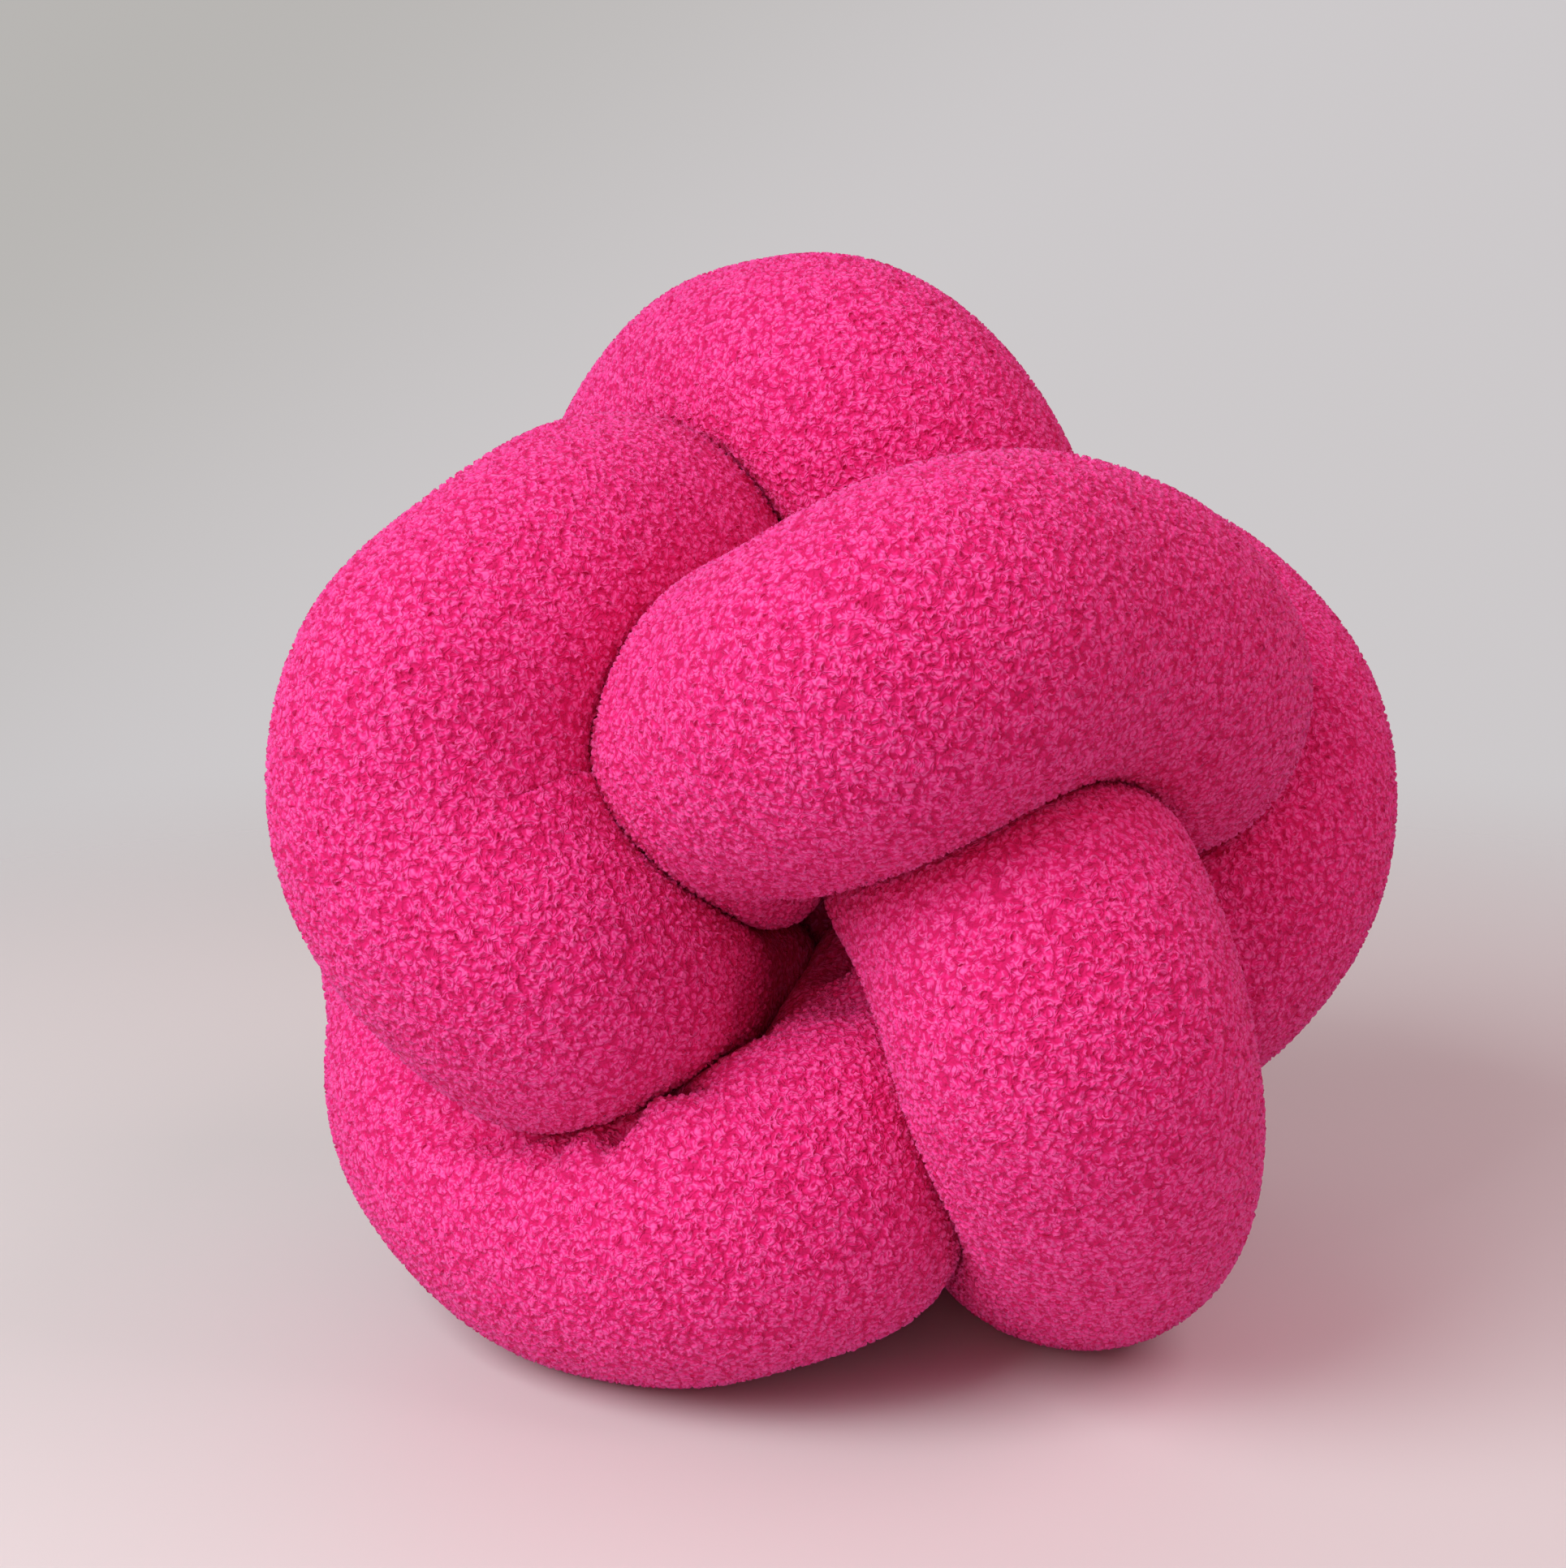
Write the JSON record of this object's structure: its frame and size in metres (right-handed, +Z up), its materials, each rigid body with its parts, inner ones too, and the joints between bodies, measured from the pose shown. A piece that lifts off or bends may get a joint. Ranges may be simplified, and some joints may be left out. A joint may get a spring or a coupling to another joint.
{
  "type": "knot cushion",
  "caption": "Ball-shaped cushion made of one fat stuffed tube of looped-pile fleece tied in a round basket knot.",
  "frame": {"origin": "on the surface that the cushion rests on, below the middle of its bounding box", "axes": "+Z up, -Y towards the side where the small gap in the middle of the knot shows, +X to the right when seen from there"},
  "size_m": [0.3602, 0.3278, 0.3321],
  "materials": {
    "pink_fleece": "matt hot-pink boucle fleece, short tight curls"
  },
  "bodies": {
    "root": {"knotted_tube": "pink_fleece"}
  },
  "joints": []
}
